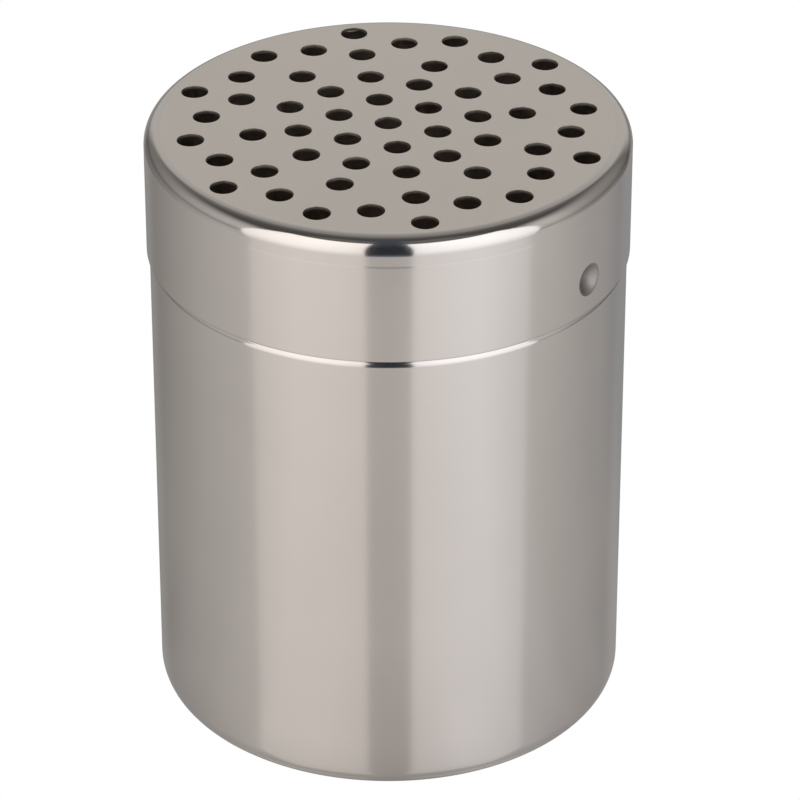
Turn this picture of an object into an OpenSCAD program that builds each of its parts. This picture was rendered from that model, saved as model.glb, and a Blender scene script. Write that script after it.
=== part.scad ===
// Shaker for dry goods: a drawn sheet-steel cup with a perforated cap that twists on and lifts off.
// Millimetres. The origin is the centre of the base, on the surface it stands on; +Z is up, -Y the front.

/* [Cup] */
// Outside diameter of the cup's straight wall
cup_d = 69.1; // [60:0.1:90]
// Sheet thickness of the cup
cup_sheet = 0.5; // [0.4:0.05:0.8]
// Outside radius of the edge between wall and base
base_round = 3.6; // [1.5:0.1:8]
// Outside radius of the shoulder, where the wall turns in towards the neck
shoulder_round = 1.05; // [0.9:0.05:2]
// Outside radius of the bend from the shoulder up into the neck
neck_round = 0.5; // [0.3:0.05:1.5]

/* [Lid] */
// Height of the closed shaker, from the base to the top of the lid
shaker_h = 91.8; // [70:0.1:140]
// Height of the lid, from its top to the lower edge of its skirt
lid_h = 19.1; // [14:0.1:30]
// Sheet thickness of the lid
lid_sheet = 0.5; // [0.4:0.05:0.8]
// Outside radius of the lid's top edge
lid_round = 2.4; // [1.6:0.1:5]
// How far the skirt stands out from the cup's wall
skirt_step = 0.43; // [0.2:0.01:0.45]

/* [Holes] */
// Diameter of the shaking holes
hole_d = 3.9; // [1.5:0.1:5]
// Flat land between the outermost holes and the lid's rounded edge
hole_land = 0.8; // [0.5:0.1:6]
// Turn of the hole pattern about the lid's axis, in degrees from +X
pattern_turn = 39.9; // [0:0.1:60]

/* [Lock] */
// Number of dimples in the skirt, each with its own groove in the neck
dimples = 2; // [2:1:4]
// Diameter of a dimple at the skirt's outside
dimple_d = 4.2; // [3:0.1:5]
// Depth of a dimple
dimple_depth = 1; // [0.8:0.05:1.3]
// Height of the dimples' centres above the skirt's lower edge
dimple_rise = 5.2; // [4.2:0.1:8]
// Turn of the first dimple about the lid's axis, in degrees from the front towards the right
dimple_turn = 54; // [0:0.1:180]
// Twist of the lid from its entry to the closed end of the grooves, in degrees
lock_turn = 22; // [10:1:45]

/* [Fits] */
// Gap all round between the neck and the inside of the skirt
skirt_gap = 0.25; // [0.15:0.05:0.5]
// Gap between the cup's rim and the inside of the lid
seat_gap = 0.05; // [0.02:0.01:0.1]
// Height between the skirt's lower edge and the top of the shoulder
edge_gap = 0.2; // [0.1:0.05:1]
// Gap between a dimple and the sides of its groove
groove_side_gap = 0.4; // [0.2:0.05:0.8]
// Gap between a dimple and the floor of its groove
groove_floor_gap = 0.3; // [0.1:0.05:0.5]

/* [Hidden] */
$fn = 96;
over = 1;
steel = [0.76, 0.73, 0.70];
polished_steel = [0.82, 0.80, 0.78];

// Radii and heights that follow from the sizes above
cup_r = cup_d / 2;
lid_r = cup_r + skirt_step;
skirt_inner_r = lid_r - lid_sheet;
neck_r = skirt_inner_r - skirt_gap;
edge_z = shaker_h - lid_h;
neck_z = edge_z - edge_gap;

// The shoulder is two arcs that touch where both lean by the same angle: one bends in from the
// wall, one bends up into the neck
bend_r = shoulder_round + neck_round;
lean = acos((bend_r - (cup_r - neck_r)) / bend_r);
shoulder_z = neck_z - bend_r * sin(lean);

// The rim's round edge rests in the lid's inner corner
corner_r = lid_r - lid_round;
corner_z = shaker_h - lid_round;
rim_mid_r = neck_r - cup_sheet / 2;
rim_reach = lid_round - lid_sheet - cup_sheet / 2 - seat_gap;
rim_z = corner_z + sqrt(pow(rim_reach, 2) - pow(rim_mid_r - corner_r, 2));

// The dimple is a cap of a ball pressed into the skirt
ball_r = (pow(dimple_d / 2, 2) + pow(dimple_depth, 2)) / (2 * dimple_depth);
ball_at = lid_r - dimple_depth + ball_r;
bump_r = ball_r + lid_sheet;
dimple_z = edge_z + dimple_rise;
groove_floor_r = ball_at - bump_r - groove_floor_gap;
groove_w = 2 * sqrt(pow(bump_r, 2) - pow(ball_at - neck_r, 2)) + 2 * groove_side_gap;

// Rings of holes: how many, the first one's angle, and the radius in pitches.
// The outermost ring sets the pitch.
OUTER = 3.97;
RINGS = [
    [6, 0, 1],
    [6, 30, sqrt(3)],
    [6, 0, 2],
    [6, 30, 1.5 * sqrt(3)],
    [6, 0, 3],
    [12, 15, 3.48],
    [6, 30, 3.79],
    [6, 0, OUTER]
];
hole_pitch = (corner_r - hole_land - hole_d / 2) / OUTER;

// Steps in each arc of a half section
ARC_STEPS = 8;

// Points along an arc about [x, z], without its first point
function arc(x, z, r, from, to) = [
    for (i = [1 : ARC_STEPS])
        let (a = from + (to - from) * i / ARC_STEPS)
            [x + r * cos(a), z + r * sin(a)]
];

function reverse(line) = [for (i = [len(line) - 1 : -1 : 0]) line[i]];

// Half outline of the cup from the axis to the rim, shrunk by inset
function cup_line(inset) = concat(
    [[0, inset], [cup_r - base_round, inset]],
    arc(cup_r - base_round, base_round, base_round - inset, -90, 0),
    [[cup_r - inset, shoulder_z]],
    arc(cup_r - shoulder_round, shoulder_z, shoulder_round - inset, 0, lean),
    arc(neck_r + neck_round, neck_z, neck_round + inset, 180 + lean, 180),
    [[neck_r - inset, rim_z]]
);

// Half outline of the lid from the axis to the skirt's lower edge, shrunk by inset
function lid_line(inset) = concat(
    [[0, shaker_h - inset], [corner_r, shaker_h - inset]],
    arc(corner_r, corner_z, lid_round - inset, 90, 0),
    [[lid_r - inset, edge_z + lid_sheet / 2]]
);

// The sheet between a piece's outer and inner line, joined by a round edge about [x, z]
module sheet_section(outer, inner, x, z, sheet, from, to) {
    edge = arc(x, z, sheet / 2, from, to);
    polygon(concat(outer, [for (i = [0 : ARC_STEPS - 2]) edge[i]], reverse(inner)));
}

module cup_section() {
    sheet_section(cup_line(0), cup_line(cup_sheet), rim_mid_r, rim_z, cup_sheet, 0, 180);
}

module lid_section() {
    sheet_section(lid_line(0), lid_line(lid_sheet),
        lid_r - lid_sheet / 2, edge_z + lid_sheet / 2, lid_sheet, 0, -180);
}

// The turn of each dimple about the axis, from +X
function dimple_angle(i) = dimple_turn - 90 + i * 360 / dimples;

// The L-shaped grooves, grown by grow on every side: down from the rim, then round to the closed end.
// They reach from their floor out to outer_r and up to top.
module grooves(grow, outer_r, top) {
    low = dimple_z - groove_w / 2 - grow;
    high = dimple_z + groove_w / 2 + grow;
    half_turn = asin((groove_w / 2 + grow) / neck_r);
    floor_r = groove_floor_r - grow;
    for (i = [0 : dimples - 1]) {
        sector(dimple_angle(i) - half_turn, dimple_angle(i) + half_turn, floor_r, outer_r, low, top);
        sector(dimple_angle(i) - half_turn - lock_turn, dimple_angle(i), floor_r, outer_r, low, high);
    }
}

// Part of a ring between two turns about the axis, two radii and two heights
module sector(from, to, inner_r, outer_r, low, high) {
    reach = 2 * outer_r;
    translate([0, 0, low])
        linear_extrude(height = high - low)
            intersection() {
                difference() {
                    circle(r = outer_r);
                    circle(r = inner_r);
                }
                polygon([[0, 0], reach * [cos(from), sin(from)], reach * [cos(to), sin(to)]]);
            }
}

module cup() {
    color(steel)
        difference() {
            union() {
                rotate_extrude()
                    cup_section();
                grooves(cup_sheet, neck_r - cup_sheet / 2, rim_z - cup_sheet);
            }
            grooves(0, neck_r + over, rim_z + over);
        }
}

module lid() {
    color(polished_steel)
        difference() {
            union() {
                rotate_extrude()
                    lid_section();
                for (i = [0 : dimples - 1])
                    rotate([0, 0, dimple_angle(i)])
                        dimple_back();
            }
            for (i = [0 : dimples - 1])
                rotate([0, 0, dimple_angle(i)])
                    translate([ball_at, 0, dimple_z])
                        sphere(r = ball_r);
            holes();
        }
}

// The bump that a dimple raises on the inside of the skirt
module dimple_back() {
    intersection() {
        translate([ball_at, 0, dimple_z])
            sphere(r = bump_r);
        translate([0, 0, dimple_z - bump_r])
            cylinder(r = lid_r - lid_sheet / 2, h = 2 * bump_r);
    }
}

// The shaking holes: one in the middle, the others in rings
module holes() {
    plate_z = shaker_h - lid_sheet - over;
    rotate([0, 0, pattern_turn])
        translate([0, 0, plate_z]) {
            cylinder(d = hole_d, h = lid_sheet + 2 * over);
            for (ring = RINGS, i = [0 : ring[0] - 1])
                rotate([0, 0, ring[1] + i * 360 / ring[0]])
                    translate([ring[2] * hole_pitch, 0, 0])
                        cylinder(d = hole_d, h = lid_sheet + 2 * over);
        }
}

cup();
lid();
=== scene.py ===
import math

import bmesh
import bpy
from bpy.props import FloatProperty, FloatVectorProperty, IntProperty, PointerProperty
from mathutils import Matrix, Vector


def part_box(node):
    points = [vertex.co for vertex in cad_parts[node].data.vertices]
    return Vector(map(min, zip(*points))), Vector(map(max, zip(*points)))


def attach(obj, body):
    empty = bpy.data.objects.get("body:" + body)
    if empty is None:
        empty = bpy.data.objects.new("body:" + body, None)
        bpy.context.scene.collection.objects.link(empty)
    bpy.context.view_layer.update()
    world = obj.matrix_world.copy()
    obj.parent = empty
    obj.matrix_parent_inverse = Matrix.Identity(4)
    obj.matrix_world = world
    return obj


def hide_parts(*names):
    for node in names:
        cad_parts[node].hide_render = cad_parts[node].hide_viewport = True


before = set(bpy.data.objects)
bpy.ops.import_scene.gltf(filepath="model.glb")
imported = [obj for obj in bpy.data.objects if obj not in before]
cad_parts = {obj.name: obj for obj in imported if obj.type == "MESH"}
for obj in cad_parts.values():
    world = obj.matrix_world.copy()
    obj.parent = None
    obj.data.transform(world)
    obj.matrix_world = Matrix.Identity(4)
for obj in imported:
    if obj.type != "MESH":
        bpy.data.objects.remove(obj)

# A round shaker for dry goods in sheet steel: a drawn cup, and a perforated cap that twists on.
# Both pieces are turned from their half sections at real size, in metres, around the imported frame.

bl_info = {
    "name": "Sheet Steel Shaker",
    "version": (1, 0, 0),
    "blender": (4, 5, 0),
    "location": "View3D > Sidebar > Shaker",
    "description": "Builds a two-piece sheet steel shaker and the studio around it",
    "category": "Add Mesh",
}

MM = 0.001
FULL_TURN = 2 * math.pi
QUARTER_TURN = math.pi / 2
AXIS = Vector((0, 0, 1))
ORIGIN = Vector((0, 0, 0))

# The frame gives the outer sizes
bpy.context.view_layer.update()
CUP_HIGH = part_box("cup")[1]
LID_LOW, LID_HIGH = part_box("lid")

# How half sections are turned: the steps in a full turn, the distance at which points merge, and
# the short edge that keeps a corner's shading out of the stretch beside it
TURN_STEPS = 360
WELD = 0.0001 * MM
SHADING_MARGIN = 0.1 * MM


# ---------------------------------------------------------------- Sizes and finishes

def framed(name, description, metres):
    return FloatProperty(name=name, description=description, default=metres, unit="LENGTH",
                         precision=5)


def length(name, description, millimetres):
    return framed(name, description, millimetres * MM)


def angle(name, description, degrees):
    return FloatProperty(name=name, description=description, default=math.radians(degrees),
                         unit="ROTATION")


def colour(name, description, red, green, blue):
    return FloatVectorProperty(name=name, description=description, default=(red, green, blue),
                               subtype="COLOR", min=0, max=1)


def share(name, description, default):
    return FloatProperty(name=name, description=description, default=default, min=0, max=1,
                         subtype="FACTOR")


class ShakerSizes(bpy.types.PropertyGroup):
    cup_radius: framed("Cup radius", "Outside radius of the cup's wall", CUP_HIGH.x)
    lid_radius: framed("Lid radius", "Outside radius of the lid's skirt", LID_HIGH.x)
    height: framed("Height", "Height of the closed shaker", LID_HIGH.z)
    skirt_edge: framed("Skirt edge", "Height of the skirt's lower edge above the base", LID_LOW.z)
    rim_top: framed("Rim top", "Height of the cup's rim above the base", CUP_HIGH.z)
    sheet: length("Sheet", "Thickness of the steel sheet", 0.5)
    base_round: length("Base round", "Outside radius of the edge between wall and base", 3.6)
    shoulder_round: length("Shoulder round", "Outside radius where the wall turns in", 1.05)
    neck_round: length("Neck round", "Outside radius where the shoulder turns up", 0.5)
    edge_gap: length("Edge gap", "Height from the neck's foot to the skirt's lower edge", 0.2)
    skirt_gap: length("Skirt gap", "Gap between the neck and the skirt", 0.25)
    lid_round: length("Lid round", "Outside radius of the lid's top edge", 2.4)
    crown: length("Crown", "How far the middle of the lid stands above its border", 0.24)
    relief_height: length("Relief height", "Height of the drawn-in band under the top edge", 1.45)
    relief_depth: length("Relief depth", "Depth of the drawn-in band under the top edge", 0.01)
    relief_step: length("Relief step", "Height of the step under the drawn-in band", 0.4)


class ShakerHoles(bpy.types.PropertyGroup):
    diameter: length("Diameter", "Diameter of the shaking holes", 3.9)
    land: length("Land", "Flat land between the outermost holes and the rounded edge", 0.8)
    turn: angle("Turn", "Turn of the pattern about the lid's axis", 39.9)
    upper_round: length("Upper round", "Radius that the punch leaves on the upper edge", 0.05)
    lower_round: length("Lower round", "Radius on the lower edge", 0.03)
    steps: IntProperty(name="Steps", description="Sides of each hole", default=40, min=12)


class ShakerLock(bpy.types.PropertyGroup):
    count: IntProperty(name="Dimples", description="Number of dimples in the skirt",
                       default=2, min=1, max=4)
    dimple_diameter: length("Dimple", "Diameter of a dimple at the skirt's outside", 4.2)
    dimple_depth: length("Dimple depth", "Depth of a dimple", 1.0)
    dimple_rise: length("Dimple rise", "Height of a dimple's centre above the skirt's edge", 5.2)
    dimple_edge: length("Dimple edge", "Softness of a dimple's edge", 0.7)
    dimple_turn: angle("Dimple turn", "Turn of the first dimple from the front", 54)
    lock_turn: angle("Lock turn", "Twist from the entry to the closed end of a groove", 22)
    side_gap: length("Side gap", "Gap between a dimple and the sides of its groove", 0.4)
    floor_gap: length("Floor gap", "Gap between a dimple and the floor of its groove", 0.3)
    groove_slope: length("Slope", "Width of the sloped sides of a groove", 0.8)


class ShakerSteel(bpy.types.PropertyGroup):
    wall_colour: colour("Wall", "Colour of the brushed walls", 0.66, 0.62, 0.585)
    plate_colour: colour("Plate", "Colour of the satin plate", 0.72, 0.67, 0.618)
    polish_colour: colour("Polish", "Colour of the polished edges", 0.67, 0.63, 0.60)
    # The inside's colour is brighter and warmer than the wall's: painted light inside the shaded cup
    inside_painted_light_colour: colour("Inside", "Colour of the unpolished inside", 0.82, 0.735, 0.68)
    wall_roughness: share("Wall roughness", "Roughness of the brushed walls", 0.15)
    plate_roughness: share("Plate roughness", "Roughness of the satin plate", 0.22)
    polish_roughness: share("Polish roughness", "Roughness of the polished edges", 0.09)
    punched_colour: colour("Punched", "Colour of the holes' edges", 0.62, 0.56, 0.50)
    # The dimples' colour is much darker than the wall's: painted shade in the pressed recesses
    pressed_painted_shade_colour: colour("Pressed", "Colour of the dimples", 0.34, 0.315, 0.30)
    punched_roughness: share("Punched roughness", "Roughness of the holes' edges", 0.45)
    pressed_roughness: share("Pressed roughness", "Roughness of the dimples", 0.4)


class ShakerStage(bpy.types.PropertyGroup):
    floor_radius: length("Floor", "Radius of the floor", 4000)
    focal_length: FloatProperty(name="Focal length", description="Focal length of the camera",
                                default=208.43, subtype="DISTANCE_CAMERA")
    camera_side: length("Camera side", "How far the camera stands to the right", 1.68)
    camera_back: length("Camera back", "How far the camera stands in front of the shaker", 589.017)
    camera_height: length("Camera height", "Height of the camera above the floor", 394.825)
    camera_tilt: angle("Camera tilt", "Angle at which the camera looks down", 30.63)
    panel_distance: length("Panel distance", "Distance of the softboxes from the shaker", 600)


# ---------------------------------------------------------------- Turning half sections

class Lathe:
    """A half section, drawn point by point in the XZ plane and then turned about the Z axis."""

    def __init__(self, radius, height):
        self.mesh = bmesh.new()
        self.end = bmesh.ops.create_vert(self.mesh, co=(radius, 0, height))["vert"][0]

    def point(self, radius, height):
        """A straight edge from the last point to this one."""
        made = bmesh.ops.extrude_vert_indiv(self.mesh, verts=[self.end])
        self.end = made["verts"][0]
        self.end.co = Vector((radius, 0, height))

    def line(self, radius, height, pieces=1):
        """A straight stretch in so many pieces, with a short one at each end.
        The short ones keep the rounding of the next corner out of the shading of the stretch."""
        start = self.end.co.copy()
        goal = Vector((radius, 0, height))
        margin = SHADING_MARGIN / (goal - start).length
        stops = [margin] + [i / pieces for i in range(1, pieces)] + [1 - margin, 1]
        for stop in stops:
            at = start.lerp(goal, stop)
            self.point(at.x, at.z)

    def arc(self, radius, height, turn, steps):
        """An arc about a centre, counter-clockwise where the turn is positive."""
        made = bmesh.ops.spin(self.mesh, geom=[self.end], cent=(radius, 0, height),
                              axis=(0, -1, 0), angle=turn, steps=steps)
        self.end = made["geom_last"][0]

    def turned(self, steps):
        """The mesh that the half section makes on a full turn."""
        mesh = self.mesh
        bmesh.ops.spin(mesh, geom=mesh.verts[:] + mesh.edges[:], cent=ORIGIN, axis=AXIS,
                       angle=FULL_TURN, steps=steps, use_merge=True)
        bmesh.ops.remove_doubles(mesh, verts=mesh.verts, dist=WELD)
        return mesh


# ---------------------------------------------------------------- Points about the axis

def turn_about_axis(point):
    """The turn of a point about the Z axis, from +X."""
    return math.atan2(point.y, point.x)


def wrapped(turn):
    """The same turn, from minus half a turn to half a turn."""
    return (turn + math.pi) % FULL_TURN - math.pi


def radius_of(point):
    return math.hypot(point.x, point.y)


def smooth_step(low, high, value):
    """0 below low, 1 above high, and a smooth rise between them."""
    t = min(max((value - low) / (high - low), 0), 1)
    return t * t * (3 - 2 * t)


def soft_minimum(a, b, softness):
    """The lower of two values, rounded where they are closer than the softness."""
    overlap = max(softness - abs(a - b), 0)
    return min(a, b) - overlap ** 2 / (4 * softness)


def set_radius(vert, radius):
    """Move a vertex straight towards or away from the axis."""
    scale = radius / radius_of(vert.co)
    vert.co.x *= scale
    vert.co.y *= scale


def refine(mesh, wanted, cuts):
    """Cut the faces whose centres are wanted into smaller ones."""
    faces = [f for f in mesh.faces if wanted(f.calc_center_median())]
    edges = {edge for face in faces for edge in face.edges}
    bmesh.ops.subdivide_edges(mesh, edges=list(edges), cuts=cuts, use_grid_fill=True)


class DimpleShape:
    """The dimples in the skirt: caps of a ball, at equal turns about the axis."""

    def __init__(self, sizes, lock):
        half = lock.dimple_diameter / 2
        self.ball = (half ** 2 + lock.dimple_depth ** 2) / (2 * lock.dimple_depth)
        self.ball_centre = sizes.lid_radius - lock.dimple_depth + self.ball
        self.skirt = sizes.lid_radius
        self.height = sizes.skirt_edge + lock.dimple_rise
        first = lock.dimple_turn - QUARTER_TURN
        self.turns = [first + i * FULL_TURN / lock.count for i in range(lock.count)]
        self.border = (lock.dimple_diameter + lock.dimple_edge) / 2

    def offsets(self, point):
        """The turn and the height from the centre of each dimple to a point."""
        return [(wrapped(turn_about_axis(point) - turn), point.z - self.height)
                for turn in self.turns]

    def covers(self, point):
        """Whether a point of the skirt lies within a dimple or its soft edge."""
        return any(math.hypot(self.skirt * across, up) < self.border
                   for across, up in self.offsets(point))


# ---------------------------------------------------------------- Objects from a bmesh

def object_from(name, mesh, materials):
    """An object at the origin from a bmesh, with its materials."""
    data = bpy.data.meshes.new(name)
    mesh.to_mesh(data)
    mesh.free()
    for material in materials:
        data.materials.append(material)
    made = bpy.data.objects.new(name, data)
    bpy.context.scene.collection.objects.link(made)
    return made


def finished_piece(name, mesh, kinds, kind_of, body):
    """A piece of the shaker, with one of the kinds of finish on each face, riding on its body."""
    bmesh.ops.recalc_face_normals(mesh, faces=mesh.faces)
    mesh.normal_update()
    for face in mesh.faces:
        face.smooth = True
        face.material_index = kinds.index(kind_of(face))
    finish = finishes(bpy.context.scene.shaker_steel)
    piece = object_from(name, mesh, [finish[kind] for kind in kinds])
    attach(piece, body)
    return piece


# ---------------------------------------------------------------- Cup

class ShoulderShape:
    """Where the cup's wall turns in towards the neck: two arcs that touch at the same lean."""

    def __init__(self, sizes):
        self.neck_radius = sizes.lid_radius - sizes.sheet - sizes.skirt_gap
        bend = sizes.shoulder_round + sizes.neck_round
        self.lean = math.acos((bend - (sizes.cup_radius - self.neck_radius)) / bend)
        self.neck_foot = sizes.skirt_edge - sizes.edge_gap
        self.height = self.neck_foot - bend * math.sin(self.lean)


NECK_PIECES = 42
CUP_FINISHES = ("wall", "base", "neck", "shoulder", "inside")


def cup_mesh(sizes):
    """Outside from the axis up to the rim, then inside back down to the axis."""
    shoulder = ShoulderShape(sizes)
    wall, neck, sheet = sizes.cup_radius, shoulder.neck_radius, sizes.sheet
    corner = wall - sizes.base_round
    shoulder_centre = wall - sizes.shoulder_round
    neck_centre = neck + sizes.neck_round
    rim_height = sizes.rim_top - sheet / 2

    section = Lathe(0, 0)
    section.line(corner, 0, pieces=4)
    section.arc(corner, sizes.base_round, QUARTER_TURN, steps=14)
    section.line(wall, shoulder.height, pieces=6)
    section.arc(shoulder_centre, shoulder.height, shoulder.lean, steps=10)
    section.arc(neck_centre, shoulder.neck_foot, -shoulder.lean, steps=6)
    section.line(neck, rim_height, NECK_PIECES)
    section.arc(neck - sheet / 2, rim_height, math.pi, steps=8)
    section.line(neck - sheet, shoulder.neck_foot, NECK_PIECES)
    section.arc(neck_centre, shoulder.neck_foot, shoulder.lean, steps=6)
    section.arc(shoulder_centre, shoulder.height, -shoulder.lean, steps=6)
    section.line(wall - sheet, sizes.base_round, pieces=2)
    section.arc(corner, sizes.base_round, -QUARTER_TURN, steps=10)
    section.line(0, sheet, pieces=2)
    return section.turned(TURN_STEPS)


class GrooveShape:
    """The L-shaped grooves in the neck: down from the rim, then round to the closed end."""

    def __init__(self, sizes, lock):
        dimple = DimpleShape(sizes, lock)
        bump = dimple.ball + sizes.sheet
        self.neck = ShoulderShape(sizes).neck_radius
        from_ball = dimple.ball_centre - self.neck
        self.depth = self.neck - (dimple.ball_centre - bump - lock.floor_gap)
        self.half_width = math.sqrt(bump ** 2 - from_ball ** 2) + lock.side_gap
        self.height = dimple.height
        self.slope = lock.groove_slope
        self.reach = self.neck * lock.lock_turn
        self.turns = dimple.turns

    def share(self, point):
        """How much of the groove's depth a point of the neck takes, from 0 to 1."""
        return max(self.share_of_one(point, turn) for turn in self.turns)

    def share_of_one(self, point, turn):
        along = self.neck * wrapped(turn_about_axis(point) - turn)
        above = point.z - self.height
        entry = self.inside(abs(along), max(-above, 0))
        back = max(along, -self.reach - along, 0)
        return max(entry, self.inside(back, abs(above)))

    def inside(self, across, beyond):
        """1 in the middle of a leg and 0 past its sides, rounded at its end."""
        return 1 - smooth_step(self.half_width - self.slope, self.half_width,
                               math.hypot(across, beyond))


def press_grooves(mesh, sizes, groove):
    """Push the neck in, outside and inside alike, so that the sheet keeps its thickness."""
    foot = ShoulderShape(sizes).neck_foot
    inner = groove.neck - 2 * sizes.sheet

    def in_patch(point):
        if point.z < foot or radius_of(point) < inner:
            return False
        along = [groove.neck * wrapped(turn_about_axis(point) - turn) for turn in groove.turns]
        return any(-groove.reach - 2 * groove.half_width < at < 2 * groove.half_width
                   for at in along)

    refine(mesh, in_patch, cuts=1)
    for vert in mesh.verts:
        if vert.co.z > foot and radius_of(vert.co) > inner:
            share_in = groove.share(vert.co)
            if share_in > 0:
                set_radius(vert, radius_of(vert.co) - groove.depth * share_in)


class SHAKER_OT_cup(bpy.types.Operator):
    """Build the drawn cup with its shoulder, neck and locking grooves"""

    bl_idname = "shaker.cup"
    bl_label = "Cup"

    def execute(self, context):
        sizes = context.scene.shaker_sizes
        lock = context.scene.shaker_lock
        mesh = cup_mesh(sizes)
        press_grooves(mesh, sizes, GrooveShape(sizes, lock))
        middle = sizes.cup_radius - sizes.sheet / 2
        shoulder = ShoulderShape(sizes)
        neck_middle = shoulder.neck_radius - sizes.sheet / 2
        corner = sizes.cup_radius - sizes.base_round

        def kind_of(face):
            centre = face.calc_center_median()
            if centre.z < sizes.sheet / 2 and radius_of(centre) < corner:
                return "base"
            if centre.z < shoulder.height:
                return "wall" if outside_of_round(centre) else "inside"
            if centre.z < shoulder.neck_foot and radius_of(centre) > neck_middle:
                return "shoulder"
            outward = face.normal.dot(Vector((centre.x, centre.y, 0)))
            return "neck" if outward > 0 or centre.z > sizes.rim_top - sizes.sheet else "inside"

        def outside_of_round(centre):
            """Whether a point under the shoulder is on the outer skin of the sheet."""
            if centre.z > sizes.base_round:
                return radius_of(centre) > middle
            from_centre = math.hypot(radius_of(centre) - corner, centre.z - sizes.base_round)
            return from_centre > sizes.base_round - sizes.sheet / 2 and radius_of(centre) > corner

        piece = finished_piece("cup_body", mesh, CUP_FINISHES, kind_of, "cup")
        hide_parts("cup")
        return {"FINISHED"}


# ---------------------------------------------------------------- Lid

HOLE_RINGS = (
    # how many, the first one's turn in degrees, and the radius in pitches
    (1, 0, 0),
    (6, 0, 1),
    (6, 30, math.sqrt(3)),
    (6, 0, 2),
    (6, 30, 1.5 * math.sqrt(3)),
    (6, 0, 3),
    (12, 15, 3.48),
    (6, 30, 3.79),
    (6, 0, 3.97),
)
OUTERMOST = HOLE_RINGS[-1][2]
PLATE_MARGIN = 0.2 * MM
RELIEF_STEPS = 8
SKIRT_PIECES = 32
# The power that brings the crown down to its border without a kink
CROWN_FALL = 1.5
# A face of the plate belongs to a hole's edge where its normal points up or down less than this
PUNCHED_LEAN = 0.85
LID_FINISHES = ("plate", "polish", "wall", "inside", "punched", "pressed")


def hole_centres(sizes, holes):
    """The centre of each hole in the XY plane."""
    flat = sizes.lid_radius - sizes.lid_round
    pitch = (flat - holes.land - holes.diameter / 2) / OUTERMOST
    centres = []
    for count, first, pitches in HOLE_RINGS:
        for i in range(count):
            turn = holes.turn + math.radians(first) + i * FULL_TURN / count
            centres.append(Vector((math.cos(turn), math.sin(turn), 0)) * pitches * pitch)
    return centres


def lid_shell(sizes):
    """From the plate's upper border over the top edge, down the skirt, and up inside it."""
    top, sheet, skirt = sizes.height, sizes.sheet, sizes.lid_radius
    corner = skirt - sizes.lid_round
    corner_height = top - sizes.lid_round
    edge = sizes.skirt_edge + sheet / 2
    relief = skirt - sizes.relief_depth
    relief_foot = corner_height - sizes.relief_height

    section = Lathe(corner - PLATE_MARGIN, top)
    section.point(corner, top)
    section.arc(corner, corner_height, -QUARTER_TURN, steps=18)
    section.line(relief, relief_foot, pieces=4)
    for i in range(1, RELIEF_STEPS + 1):
        section.point(relief + smooth_step(0, RELIEF_STEPS, i) * sizes.relief_depth,
                      relief_foot - i / RELIEF_STEPS * sizes.relief_step)
    section.line(skirt, edge, SKIRT_PIECES)
    section.arc(skirt - sheet / 2, edge, -math.pi, steps=8)
    section.line(skirt - sheet, corner_height, SKIRT_PIECES)
    section.arc(corner, corner_height, QUARTER_TURN, steps=12)
    section.point(corner - PLATE_MARGIN, top - sheet)
    return section.turned(TURN_STEPS)


def hole_collar(sizes, holes):
    """The edge of one hole through the plate, with a narrow flat ring above and below."""
    top, bottom = sizes.height, sizes.height - sizes.sheet
    edge = holes.diameter / 2
    upper, lower = holes.upper_round, holes.lower_round

    section = Lathe(edge + upper + SHADING_MARGIN, top)
    section.point(edge + upper, top)
    section.arc(edge + upper, top - upper, QUARTER_TURN, steps=4)
    section.point(edge, bottom + lower)
    section.arc(edge + lower, bottom + lower, QUARTER_TURN, steps=3)
    section.point(edge + upper + SHADING_MARGIN, bottom)
    return section.turned(holes.steps)


def fill_plate(mesh, height):
    """Close the flat plate between its border and the holes, at one height."""
    edges = [edge for edge in mesh.edges if edge.is_boundary
             and all(abs(vert.co.z - height) < WELD for vert in edge.verts)]
    bmesh.ops.triangle_fill(mesh, edges=edges, use_beauty=True, normal=AXIS)


def raise_crown(mesh, sizes):
    """Bulge the plate a little, with no kink at its border."""
    border = sizes.lid_radius - sizes.lid_round
    for vert in mesh.verts:
        share_out = radius_of(vert.co) / border
        if share_out < 1:
            vert.co.z += sizes.crown * (1 - share_out ** 2) ** CROWN_FALL


def lid_mesh(sizes, holes):
    mesh = lid_shell(sizes)
    collar = hole_collar(sizes, holes)
    stamp = bpy.data.meshes.new("hole_collar")
    collar.to_mesh(stamp)
    collar.free()
    for centre in hole_centres(sizes, holes):
        placed = len(mesh.verts)
        mesh.from_mesh(stamp)
        mesh.verts.ensure_lookup_table()
        bmesh.ops.translate(mesh, verts=mesh.verts[placed:], vec=centre)
    bpy.data.meshes.remove(stamp)
    for height in (sizes.height, sizes.height - sizes.sheet):
        fill_plate(mesh, height)
    raise_crown(mesh, sizes)
    return mesh


def press_dimples(mesh, sizes, lock):
    """Press the skirt in around each dimple, outside to the ball and inside to the ball and sheet."""
    dimple = DimpleShape(sizes, lock)
    middle = sizes.lid_radius - sizes.sheet / 2
    patch = lock.dimple_diameter

    def in_patch(point):
        if radius_of(point) < sizes.lid_radius - 2 * sizes.sheet:
            return False
        return any(abs(sizes.lid_radius * across) < patch and abs(up) < patch
                   for across, up in dimple.offsets(point))

    refine(mesh, in_patch, cuts=3)
    for vert in mesh.verts:
        radius = radius_of(vert.co)
        reach = dimple.ball if radius > middle else dimple.ball + sizes.sheet
        for across, up in dimple.offsets(vert.co):
            left = reach ** 2 - (dimple.ball_centre * math.sin(across)) ** 2 - up ** 2
            if abs(across) < QUARTER_TURN and left > 0 and in_patch(vert.co):
                pressed = dimple.ball_centre * math.cos(across) - math.sqrt(left)
                set_radius(vert, soft_minimum(radius, pressed, lock.dimple_edge))


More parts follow.
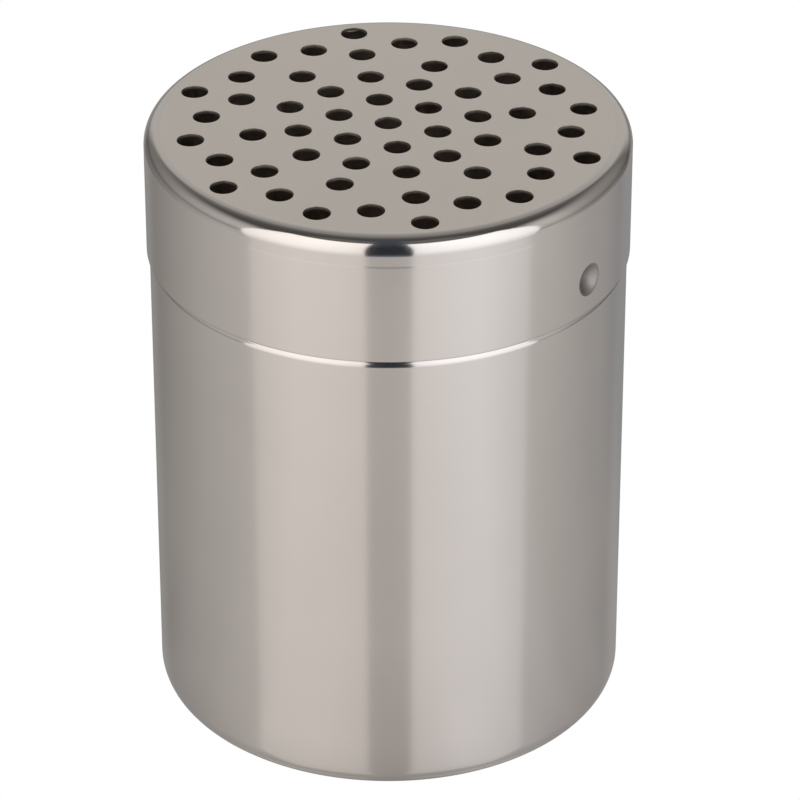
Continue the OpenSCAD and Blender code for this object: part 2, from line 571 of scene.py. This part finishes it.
class SHAKER_OT_lid(bpy.types.Operator):
    """Build the perforated lid with its rounded edge, skirt and dimples"""

    bl_idname = "shaker.lid"
    bl_label = "Lid"

    def execute(self, context):
        sizes = context.scene.shaker_sizes
        holes = context.scene.shaker_holes
        lock = context.scene.shaker_lock
        mesh = lid_mesh(sizes, holes)
        press_dimples(mesh, sizes, lock)
        dimple = DimpleShape(sizes, lock)
        corner = sizes.lid_radius - sizes.lid_round
        corner_height = sizes.height - sizes.lid_round
        middle = sizes.lid_radius - sizes.sheet / 2

        def kind_of(face):
            centre = face.calc_center_median()
            if radius_of(centre) < corner:
                if abs(face.normal.z) < PUNCHED_LEAN:
                    return "punched"
                return "plate" if face.normal.z > 0 else "inside"
            if centre.z > corner_height:
                from_centre = math.hypot(radius_of(centre) - corner, centre.z - corner_height)
                return "polish" if from_centre > sizes.lid_round - sizes.sheet / 2 else "inside"
            if dimple.covers(centre):
                outward = face.normal.dot(Vector((centre.x, centre.y, 0)))
                # Faces of a dimple take the pressed finish, whose darker colour is painted shade
                return "pressed" if outward > 0 else "inside"
            return "wall" if radius_of(centre) > middle else "inside"

        piece = finished_piece("lid_cap", mesh, LID_FINISHES, kind_of, "lid")
        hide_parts("lid")
        return {"FINISHED"}


# ---------------------------------------------------------------- Node helpers

def add(tree, kind, settings=None, inputs=None):
    """Add a node, set its own settings, and fill its inputs with numbers or link them to sockets."""
    node = tree.nodes.new(kind)
    for name, value in (settings or {}).items():
        setattr(node, name, value)
    for name, value in (inputs or {}).items():
        if isinstance(value, bpy.types.NodeSocket):
            tree.links.new(value, node.inputs[name])
        else:
            node.inputs[name].default_value = value
    return node


def calculate(tree, operation, *values):
    """The result of a Math node."""
    return add(tree, "ShaderNodeMath", {"operation": operation},
               dict(enumerate(values))).outputs[0]


def mapped(tree, value, start, stop, first=0.0, last=1.0, smooth=False):
    """A value between start and stop turned into one between first and last, and held beyond."""
    settings = {"interpolation_type": "SMOOTHSTEP"} if smooth else None
    return add(tree, "ShaderNodeMapRange", settings, {
        "Value": value, "From Min": start, "From Max": stop,
        "To Min": first, "To Max": last}).outputs["Result"]


def new_group(name, inputs, outputs):
    """An empty shader node group with named sockets, and its input and output nodes."""
    tree = bpy.data.node_groups.new(name, "ShaderNodeTree")
    for socket, kind, default in inputs:
        made = tree.interface.new_socket(name=socket, in_out="INPUT", socket_type=kind)
        if default is not None:
            made.default_value = default
    for socket, kind in outputs:
        tree.interface.new_socket(name=socket, in_out="OUTPUT", socket_type=kind)
    return tree, tree.nodes.new("NodeGroupInput"), tree.nodes.new("NodeGroupOutput")


# ---------------------------------------------------------------- Surface effects

# The density of the broad bands, as a share of that of the fine lines
BAND_DENSITY = 0.06
# A scratch follows the middle of one noise, this far to each side, and shows where another one
# is over the first of these values, in full from the second on
SCRATCH_REACH = 0.0015
SCRATCHED_FROM = (0.56, 0.62)


def turned_marks_group():
    """Fine lines that run round the axis, as a belt leaves them on a turning piece."""
    tree, given, result = new_group(
        "Turned marks",
        [("Vector", "NodeSocketVector", None), ("Density", "NodeSocketFloat", 9000.0),
         ("Drift", "NodeSocketFloat", 1.5)],
        [("Lines", "NodeSocketFloat"), ("Bands", "NodeSocketFloat")])
    parts = add(tree, "ShaderNodeSeparateXYZ", None, {0: given.outputs["Vector"]})
    flat = add(tree, "ShaderNodeCombineXYZ", None, {0: parts.outputs[0], 1: parts.outputs[1]})
    radius = add(tree, "ShaderNodeVectorMath", {"operation": "LENGTH"}, {0: flat.outputs[0]})
    around = add(tree, "ShaderNodeVectorMath", {"operation": "NORMALIZE"}, {0: flat.outputs[0]})
    drift = add(tree, "ShaderNodeVectorMath", {"operation": "SCALE"},
                {0: around.outputs[0], "Scale": given.outputs["Drift"]})
    along = calculate(tree, "SUBTRACT", parts.outputs[2], radius.outputs["Value"])

    def noise_along(density, detail):
        place = add(tree, "ShaderNodeSeparateXYZ", None, {0: drift.outputs[0]})
        vector = add(tree, "ShaderNodeCombineXYZ", None, {
            0: place.outputs[0], 1: place.outputs[1],
            2: calculate(tree, "MULTIPLY", along, density)})
        return add(tree, "ShaderNodeTexNoise", None, {
            "Vector": vector.outputs[0], "Scale": 1.0, "Detail": detail,
            "Roughness": 0.6}).outputs["Fac"]

    tree.links.new(noise_along(given.outputs["Density"], 3.0), result.inputs["Lines"])
    broad = calculate(tree, "MULTIPLY", given.outputs["Density"], BAND_DENSITY)
    tree.links.new(noise_along(broad, 2.0), result.inputs["Bands"])
    return tree


def handling_group():
    """Hairline scratches and soft smudges from use."""
    tree, given, result = new_group(
        "Handling",
        [("Vector", "NodeSocketVector", None), ("Scratch size", "NodeSocketFloat", 0.012),
         ("Smudge size", "NodeSocketFloat", 0.018)],
        [("Scratches", "NodeSocketFloat"), ("Smudges", "NodeSocketFloat")])
    scratch_scale = calculate(tree, "DIVIDE", 1.0, given.outputs["Scratch size"])
    smudge_scale = calculate(tree, "DIVIDE", 1.0, given.outputs["Smudge size"])
    sweep = add(tree, "ShaderNodeTexNoise", None, {
        "Vector": given.outputs["Vector"], "Scale": scratch_scale, "Detail": 0.0})
    off_line = calculate(tree, "ABSOLUTE", calculate(tree, "SUBTRACT", sweep.outputs["Fac"], 0.5))
    line = mapped(tree, off_line, 0.0, SCRATCH_REACH, 1.0, 0.0, smooth=True)
    broken = add(tree, "ShaderNodeTexNoise", None, {
        "Vector": given.outputs["Vector"], "Scale": smudge_scale, "Detail": 2.0})
    here = mapped(tree, broken.outputs["Fac"], *SCRATCHED_FROM, smooth=True)
    tree.links.new(calculate(tree, "MULTIPLY", line, here), result.inputs["Scratches"])
    smear = add(tree, "ShaderNodeTexNoise", None, {
        "Vector": given.outputs["Vector"], "Scale": smudge_scale, "Detail": 4.0,
        "Roughness": 0.55, "Distortion": 0.4})
    tree.links.new(smear.outputs["Fac"], result.inputs["Smudges"])
    return tree


def group_node(tree, group, vector, **values):
    """A placed group fed with a vector and its own values."""
    node = tree.nodes.new("ShaderNodeGroup")
    node.node_tree = group
    tree.links.new(vector, node.inputs["Vector"])
    for name, value in values.items():
        node.inputs[name.replace("_", " ").capitalize()].default_value = value
    return node


# ---------------------------------------------------------------- Finishes

# What a scratch adds to the roughness, and its depth as a share of that of the lines
SCRATCH_ROUGHNESS = 0.04
SCRATCH_DEPTH = 0.4
# The noises keep mostly between these values, and smudges change the tint by this share
NOISE_SPAN = (0.3, 0.7)
CLOUDING = 0.015
# The turn of the stretched highlights, as a share of a full turn
HIGHLIGHT_TURN = 0.25


def steel(name, tint, roughness, anisotropic, density, line_depth, line_share, smudge_share):
    """Stainless steel with turned lines, smudges and hairline scratches."""
    material = bpy.data.materials.new(name)
    material.use_nodes = True
    tree = material.node_tree
    shader = tree.nodes["Principled BSDF"]
    shader.inputs["Metallic"].default_value = 1.0
    shader.inputs["Anisotropic"].default_value = anisotropic
    shader.inputs["Anisotropic Rotation"].default_value = HIGHLIGHT_TURN

    place = add(tree, "ShaderNodeTexCoord").outputs["Object"]
    marks = group_node(tree, GROUPS["marks"], place, density=density)
    handling = group_node(tree, GROUPS["handling"], place)

    def around(value, spread):
        """A value from 0 to 1, turned into a factor around 1."""
        return mapped(tree, value, *NOISE_SPAN, 1 - spread, 1 + spread)

    rough = calculate(tree, "MULTIPLY", around(marks.outputs["Bands"], line_share), roughness)
    rough = calculate(tree, "MULTIPLY", rough, around(handling.outputs["Smudges"], smudge_share))
    rough = calculate(tree, "MULTIPLY_ADD", handling.outputs["Scratches"], SCRATCH_ROUGHNESS,
                      rough)
    tree.links.new(rough, shader.inputs["Roughness"])

    cloud = around(handling.outputs["Smudges"], CLOUDING)
    tinted = add(tree, "ShaderNodeVectorMath", {"operation": "SCALE"}, {
        0: tuple(tint), "Scale": cloud})
    tree.links.new(tinted.outputs[0], shader.inputs["Base Color"])

    height = calculate(tree, "MULTIPLY_ADD", handling.outputs["Scratches"], -SCRATCH_DEPTH,
                       marks.outputs["Lines"])
    bump = add(tree, "ShaderNodeBump", None, {
        "Strength": 1.0, "Distance": line_depth, "Height": height})
    tree.links.new(bump.outputs["Normal"], shader.inputs["Normal"])
    return material


GROUPS = {}
FINISHES = {}
# How much rougher some finishes are than the wall or the polished edge they are worked from
ROLLED_ROUGHNESS = 1.4
DRAWN_ROUGHNESS = 1.3
UNPOLISHED_ROUGHNESS = 2.6
# The marks on each finish: how far they stretch the highlights, how many lines there are to a
# metre and how deep they are, and how much the lines and the smudges change the roughness
FINISH_MARKS = {
    "wall": (0.5, 8000, 0.0003 * MM, 0.08, 0.05),
    "plate": (0.0, 6000, 0.0002 * MM, 0.04, 0.05),
    "polish": (0.0, 9000, 0.0001 * MM, 0.05, 0.04),
    "shoulder": (0.5, 8000, 0.0002 * MM, 0.05, 0.04),
    "base": (0.0, 3000, 0.001 * MM, 0.2, 0.1),
    "neck": (0.3, 5000, 0.0005 * MM, 0.15, 0.1),
    "inside": (0.0, 4000, 0.0005 * MM, 0.2, 0.1),
    "punched": (0.0, 4000, 0.001 * MM, 0.2, 0.1),
    "pressed": (0.0, 4000, 0.0005 * MM, 0.2, 0.1),
}


def finishes(look):
    """The finishes of both pieces, made once."""
    if FINISHES:
        return FINISHES
    GROUPS["marks"] = turned_marks_group()
    GROUPS["handling"] = handling_group()
    wall, polish = look.wall_roughness, look.polish_roughness
    tones = {
        "wall": ("Brushed wall steel", look.wall_colour, wall),
        "plate": ("Satin plate steel", look.plate_colour, look.plate_roughness),
        "polish": ("Polished edge steel", look.polish_colour, polish),
        "shoulder": ("Rolled shoulder steel", look.polish_colour, polish * ROLLED_ROUGHNESS),
        "base": ("Turned base steel", look.wall_colour, wall * ROLLED_ROUGHNESS),
        "neck": ("Drawn neck steel", look.wall_colour, wall * DRAWN_ROUGHNESS),
        # The inside takes the brighter, warmer colour: painted light in the shaded interior
        "inside": ("Drawn inside steel with painted light", look.inside_painted_light_colour, wall * UNPOLISHED_ROUGHNESS),
        "punched": ("Punched edge steel", look.punched_colour, look.punched_roughness),
        # The dimples take the darker colour: painted shade in the recesses
        "pressed": ("Pressed dimple steel with painted shade", look.pressed_painted_shade_colour, look.pressed_roughness),
    }
    for kind, (name, tint, roughness) in tones.items():
        FINISHES[kind] = steel(name, tint, roughness, *FINISH_MARKS[kind])
    return FINISHES


# ---------------------------------------------------------------- Stage

def direction(azimuth, elevation):
    """A unit vector, from an azimuth in degrees from the front towards the right."""
    a, e = math.radians(azimuth), math.radians(elevation)
    return Vector((math.sin(a) * math.cos(e), -math.cos(a) * math.cos(e), math.sin(e)))


def profile(tree, value, stops):
    """A tone that follows a value, with straight stretches between the stops."""
    low, high = stops[0][0], stops[-1][0]
    node = add(tree, "ShaderNodeValToRGB", None, {"Fac": mapped(tree, value, low, high)})
    elements = node.color_ramp.elements
    elements.remove(elements[-1])
    for i, (at, tone) in enumerate(stops):
        place = (at - low) / (high - low)
        element = elements[0] if i == 0 else elements.new(place)
        element.position = place
        element.color = (*(tone if isinstance(tone, tuple) else (tone, tone, tone)), 1)
    return node.outputs["Color"]


def emptied(owner):
    """The node tree of a material or a world, with no nodes in it."""
    owner.use_nodes = True
    owner.node_tree.nodes.clear()
    return owner.node_tree


def white_to_camera(tree, kind, elsewhere):
    """White light where the camera looks at it, and another shader for all other rays."""
    seen = add(tree, "ShaderNodeLightPath").outputs["Is Camera Ray"]
    white = add(tree, kind, None, {"Color": (1, 1, 1, 1)})
    return add(tree, "ShaderNodeMixShader", None, {
        0: seen, 1: elsewhere.outputs[0], 2: white.outputs[0]})


def azimuth_of(tree, parts):
    """The azimuth in degrees of a place or direction that is split into its parts."""
    forward = calculate(tree, "MULTIPLY", parts.outputs[1], -1.0)
    return calculate(tree, "DEGREES", calculate(tree, "ARCTAN2", parts.outputs[0], forward))


# The room's light is the strongest of three: a backdrop, the ceiling and the reflectors beside
# the shaker. The angles are in degrees.
BACKDROP_AZIMUTH = 177
BACKDROP_BY_TURN = (
    (0, 0.57), (26, 0.57), (30, 0.49), (34, 0.32), (38, 0.20), (44, 0.11), (52, 0))
BACKDROP_BY_HEIGHT = (
    (-90, 0.5), (-20, 0.6), (-5, 0.6), (6, 1), (30, 1), (38, 0.86), (48, 0.71), (58, 0.6),
    (68, 0.47), (78, 0.28), (90, 0.14))
CEILING_MIDDLE = (180, 45)
CEILING_BY_ANGLE = (
    (0, 0.31), (13, 0.31), (23, 0.25), (32, 0.155), (42, 0.10), (52, 0.088), (64, 0.085),
    (74, 0.076), (84, 0.055), (94, 0.037), (114, 0.032), (134, 0.043), (143, 0.055),
    (153, 0.11), (165, 0.30))
REFLECTORS_BY_TURN = (
    (-180, 0), (-155, 0.12), (-145, 0.235), (-135, 0.25), (-125, 0.30), (-115, 0.35),
    (-105, 0.44), (-95, 0.50), (-80, 0.59), (-66, 0.60), (-50, 0),
    (50, 0), (68, 0.64), (80, 0.66), (95, 0.45), (105, 0.37), (115, 0.32), (125, 0.29),
    (135, 0.225), (145, 0.12), (155, 0.03), (180, 0))
REFLECTORS_BY_HEIGHT = (
    (-90, 0.95), (-20, 0.92), (0, 0.82), (8, 0.92), (20, 1), (28, 0.97), (34, 0.86), (40, 0.66),
    (45, 0.42), (50, 0.20), (58, 0))
# The line of the horizon is a little darker, and lies lower on the right: it drops by so many
# degrees between these two sideways parts of a direction
HORIZON = ((-30, 1), (-11, 1), (-5, 0.88), (-1, 0.72), (2, 0.74), (6, 0.96), (11, 1))
HORIZON_DROP = 8
HORIZON_SIDES = (-0.3, 0.3)
ROOM_TINT = (
    (0, (1, 0.975, 0.945)), (60, (1, 0.975, 0.945)), (118, (1, 0.98, 0.955)),
    (150, (0.83, 1, 1.27)))


def room_light():
    """The room around the shaker: white where the camera looks at it, soft glows elsewhere."""
    world = bpy.data.worlds.new("Studio room")
    bpy.context.scene.world = world
    tree = emptied(world)
    facing = add(tree, "ShaderNodeTexCoord").outputs["Generated"]
    parts = add(tree, "ShaderNodeSeparateXYZ", None, {0: facing})
    azimuth = azimuth_of(tree, parts)
    elevation = calculate(tree, "DEGREES", calculate(tree, "ARCSINE", parts.outputs[2]))
    turned = calculate(tree, "ABSOLUTE",
                       calculate(tree, "ADD", azimuth, 180.0 - BACKDROP_AZIMUTH))
    from_backdrop = calculate(tree, "SUBTRACT", 180.0, turned)
    dot = add(tree, "ShaderNodeVectorMath", {"operation": "DOT_PRODUCT"}, {
        0: facing, 1: direction(*CEILING_MIDDLE)}).outputs["Value"]
    from_ceiling = calculate(tree, "DEGREES", calculate(tree, "ARCCOSINE", dot))

    backdrop = calculate(tree, "MULTIPLY", profile(tree, from_backdrop, BACKDROP_BY_TURN),
                         profile(tree, elevation, BACKDROP_BY_HEIGHT))
    ceiling = profile(tree, from_ceiling, CEILING_BY_ANGLE)
    reflectors = calculate(tree, "MULTIPLY", profile(tree, azimuth, REFLECTORS_BY_TURN),
                           profile(tree, elevation, REFLECTORS_BY_HEIGHT))
    strongest = calculate(tree, "MAXIMUM", calculate(tree, "MAXIMUM", backdrop, ceiling),
                          reflectors)
    drop = mapped(tree, parts.outputs[0], *HORIZON_SIDES, 0.0, HORIZON_DROP)
    above = calculate(tree, "ADD", elevation, drop)
    room = add(tree, "ShaderNodeBackground", None, {
        "Color": profile(tree, from_backdrop, ROOM_TINT),
        "Strength": calculate(tree, "MULTIPLY", strongest, profile(tree, above, HORIZON))})
    add(tree, "ShaderNodeOutputWorld", None, {
        "Surface": white_to_camera(tree, "ShaderNodeBackground", room).outputs[0]})


# Light that the table gives back, by the azimuth in degrees
TABLE_LIGHT = (
    (-180, (0.18, 0.18, 0.18)),
    (-165, (0.195, 0.195, 0.195)),
    (-153, (0.215, 0.215, 0.21)),
    (-135, (0.265, 0.26, 0.25)),
    (-122, (0.33, 0.32, 0.305)),
    (-112, (0.39, 0.38, 0.365)),
    (-100, (0.45, 0.435, 0.42)),
    (-85, (0.525, 0.51, 0.495)),
    (-68, (0.575, 0.56, 0.545)),
    (-40, (0.735, 0.71, 0.69)),
    (0, (0.70, 0.67, 0.65)),
    (40, (0.80, 0.795, 0.81)),
    (68, (0.585, 0.575, 0.57)),
    (85, (0.54, 0.53, 0.525)),
    (102, (0.465, 0.455, 0.45)),
    (112, (0.43, 0.425, 0.425)),
    (122, (0.37, 0.37, 0.38)),
    (135, (0.275, 0.28, 0.29)),
    (153, (0.215, 0.22, 0.23)),
    (165, (0.195, 0.195, 0.195)),
    (180, (0.18, 0.18, 0.18)),
)
# It grows by these factors from the middle distance to the near one, and the table fades away
# from there to the far one
TABLE_MIDDLE = 60 * MM
TABLE_NEAR = 190 * MM
TABLE_FAR = 260 * MM
TABLE_GROWTH = (0.94, 1.11)
# The refraction and the roughness of the table's gloss
TABLE_GLOSS = 2.3
TABLE_ROUGHNESS = 0.1
FLOOR_SIDES = 96
# The shaker's shade on the table, by the distance from its axis in millimetres: what is left of
# the light close to the foot, and what a wider shade takes away, which is faint by the softboxes
FOOT_SHADE = ((31, 0.45), (33, 0.58), (34.4, 0.74), (36, 0.82), (38, 0.85), (40.5, 0.91), (46, 1))
WIDE_SHADE = ((31, 0.2), (46, 0.2), (51, 0.16), (58, 0.09), (64, 0.05), (72, 0))
WIDE_SHADE_BY_TURN = (
    (-180, 1.3), (-98, 1.3), (-84, 0.8), (-74, 0.55), (-46, 0.5), (-38, 0.1), (-20, 0),
    (5, 0.7), (14, 0.5), (22, 0), (30, 0.2), (38, 0.75), (50, 1), (60, 0.65), (80, 0.55),
    (90, 0.9), (180, 0.9))


def make_floor(radius):
    """Pale floor: plain white to the camera. The steel sees a small glossy table in a dark room."""
    material = bpy.data.materials.new("Pale floor")
    tree = emptied(material)
    place = add(tree, "ShaderNodeTexCoord").outputs["Object"]
    azimuth = azimuth_of(tree, add(tree, "ShaderNodeSeparateXYZ", None, {0: place}))
    distance = add(tree, "ShaderNodeVectorMath", {"operation": "LENGTH"}, {
        0: place}).outputs["Value"]
    outwards = mapped(tree, distance, TABLE_MIDDLE, TABLE_NEAR, *TABLE_GROWTH)
    millimetres = calculate(tree, "DIVIDE", distance, MM)
    taken = calculate(tree, "MULTIPLY", profile(tree, millimetres, WIDE_SHADE),
                      profile(tree, azimuth, WIDE_SHADE_BY_TURN))
    left = calculate(tree, "MULTIPLY", profile(tree, millimetres, FOOT_SHADE),
                     calculate(tree, "SUBTRACT", 1.0, taken))
    paper = add(tree, "ShaderNodeEmission", None, {
        "Color": profile(tree, azimuth, TABLE_LIGHT),
        "Strength": calculate(tree, "MULTIPLY", outwards, left)})
    gloss = add(tree, "ShaderNodeBsdfGlossy", None, {
        "Color": (1, 1, 1, 1), "Roughness": TABLE_ROUGHNESS})
    shine = add(tree, "ShaderNodeFresnel", None, {"IOR": TABLE_GLOSS})
    sheet = add(tree, "ShaderNodeMixShader", None, {
        0: shine.outputs[0], 1: paper.outputs[0], 2: gloss.outputs[0]})
    beyond = mapped(tree, distance, TABLE_NEAR, TABLE_FAR, smooth=True)
    clear = add(tree, "ShaderNodeBsdfTransparent")
    table = add(tree, "ShaderNodeMixShader", None, {
        0: beyond, 1: sheet.outputs[0], 2: clear.outputs[0]})
    add(tree, "ShaderNodeOutputMaterial", None, {
        "Surface": white_to_camera(tree, "ShaderNodeEmission", table).outputs[0]})

    mesh = bmesh.new()
    bmesh.ops.create_circle(mesh, cap_ends=True, segments=FLOOR_SIDES, radius=radius)
    floor = object_from("floor", mesh, [material])


# Softboxes: the azimuths of their sides and the elevations of their lower and upper edges, in
# degrees as seen from the shaker, and their light
SOFTBOXES = (
    ("left_softbox", -66.0, -9.9, -26.0, 59.0, (1.52, 1.49, 1.45)),
    ("right_softbox", 10.8, 68.5, -26.0, 55.0, (1.57, 1.575, 1.61)),
)
EYE_HEIGHT = 60 * MM
SOFTBOX_STEPS = 24
# How their light falls: towards the sides by this share, and towards the foot by the height in
# millimetres. Past the blurred upper edge, a halo of this light goes on up to its elevation.
SIDE_FALL = 0.15
FOOT_BY_HEIGHT = (
    (-235, 0.63), (-147, 0.655), (-35, 0.76), (60, 0.87), (155, 0.92), (366, 0.97), (512, 1))
HALO_LIGHT = 0.11
HALO_ELEVATION = 76
EDGE_BLUR = 40 * MM


def softbox_material(name, middle, half, top, light):
    """Light that fades towards the sides and the foot, and a faint halo above the upper edge."""
    material = bpy.data.materials.new(name)
    tree = emptied(material)
    place = add(tree, "ShaderNodeTexCoord").outputs["Object"]
    parts = add(tree, "ShaderNodeSeparateXYZ", None, {0: place})
    turned = calculate(tree, "SUBTRACT", azimuth_of(tree, parts), middle)
    along = calculate(tree, "DIVIDE", turned, half)
    across = calculate(tree, "MULTIPLY_ADD", calculate(tree, "MULTIPLY", along, along),
                       -SIDE_FALL, 1.0)
    millimetres = calculate(tree, "DIVIDE", parts.outputs[2], MM)
    foot = profile(tree, millimetres, FOOT_BY_HEIGHT)
    head = mapped(tree, parts.outputs[2], top - EDGE_BLUR, top + EDGE_BLUR, 1.0, HALO_LIGHT,
                  smooth=True)
    strength = calculate(tree, "MULTIPLY", across, calculate(tree, "MULTIPLY", foot, head))
    emission = add(tree, "ShaderNodeEmission", None, {
        "Color": (*light, 1), "Strength": strength})
    add(tree, "ShaderNodeOutputMaterial", None, {"Surface": emission.outputs[0]})
    return material


def make_softbox(name, start, stop, low, high, light, distance):
    """An upright panel, bent round the shaker so that its edges stay at their elevations."""
    middle = (start + stop) / 2
    half = (stop - start) / 2
    heights = [EYE_HEIGHT + distance * math.tan(math.radians(elevation))
               for elevation in (low, high, HALO_ELEVATION)]

    mesh = bmesh.new()
    side = Vector((0, -distance, heights[0]))
    side.rotate(Matrix.Rotation(math.radians(start), 3, "Z"))
    foot = bmesh.ops.create_vert(mesh, co=side)["vert"]
    bmesh.ops.extrude_vert_indiv(mesh, verts=foot)
    mesh.verts.ensure_lookup_table()
    mesh.verts[1].co.z = heights[2]
    bmesh.ops.spin(mesh, geom=mesh.verts[:] + mesh.edges[:], cent=ORIGIN, axis=AXIS,
                   angle=math.radians(stop - start), steps=SOFTBOX_STEPS)
    panel = object_from(name, mesh, [softbox_material(name, middle, half, heights[1], light)])
    panel.visible_camera = False


# The camera's sensor in millimetres, and the nearest and farthest that it sees
SENSOR_WIDTH = 36
CLIP_START = 10 * MM
CLIP_END = 20000 * MM


def make_camera(stage):
    data = bpy.data.cameras.new("camera")
    data.lens = stage.focal_length
    data.sensor_width = SENSOR_WIDTH
    data.clip_start = CLIP_START
    data.clip_end = CLIP_END
    camera = bpy.data.objects.new("camera", data)
    camera.location = (stage.camera_side, -stage.camera_back, stage.camera_height)
    camera.rotation_euler = (QUARTER_TURN - stage.camera_tilt, 0, 0)
    bpy.context.scene.collection.objects.link(camera)
    bpy.context.scene.camera = camera


class SHAKER_OT_stage(bpy.types.Operator):
    """Build the floor, the room light, the softboxes and the camera"""

    bl_idname = "shaker.stage"
    bl_label = "Stage"

    def execute(self, context):
        stage = context.scene.shaker_stage
        context.scene.view_settings.view_transform = "Standard"
        make_floor(stage.floor_radius)
        room_light()
        for name, start, stop, low, high, light in SOFTBOXES:
            make_softbox(name, start, stop, low, high, light, stage.panel_distance)
        make_camera(stage)
        return {"FINISHED"}


# ---------------------------------------------------------------- Add-on

class SHAKER_PT_build(bpy.types.Panel):
    """Lists the pieces of the shaker and the stage"""

    bl_idname = "SHAKER_PT_build"
    bl_label = "Sheet Steel Shaker"
    bl_space_type = "VIEW_3D"
    bl_region_type = "UI"
    bl_category = "Shaker"

    def draw(self, context):
        for operator in (SHAKER_OT_stage, SHAKER_OT_cup, SHAKER_OT_lid):
            self.layout.operator(operator.bl_idname)
        for name in GROUP_TYPES:
            box = self.layout.box()
            settings = getattr(context.scene, name)
            for key in settings.bl_rna.properties.keys():
                if key not in ("rna_type", "name"):
                    box.prop(settings, key)


GROUP_TYPES = {
    "shaker_sizes": ShakerSizes,
    "shaker_holes": ShakerHoles,
    "shaker_lock": ShakerLock,
    "shaker_steel": ShakerSteel,
    "shaker_stage": ShakerStage,
}
CLASSES = (*GROUP_TYPES.values(), SHAKER_OT_cup, SHAKER_OT_lid, SHAKER_OT_stage, SHAKER_PT_build)


def register():
    for one in CLASSES:
        bpy.utils.register_class(one)
    for name, kind in GROUP_TYPES.items():
        setattr(bpy.types.Scene, name, PointerProperty(type=kind))


def unregister():
    for name in GROUP_TYPES:
        delattr(bpy.types.Scene, name)
    for one in reversed(CLASSES):
        bpy.utils.unregister_class(one)


def main():
    register()
    bpy.ops.shaker.stage()
    bpy.ops.shaker.cup()
    bpy.ops.shaker.lid()


if __name__ == "__main__":
    main()
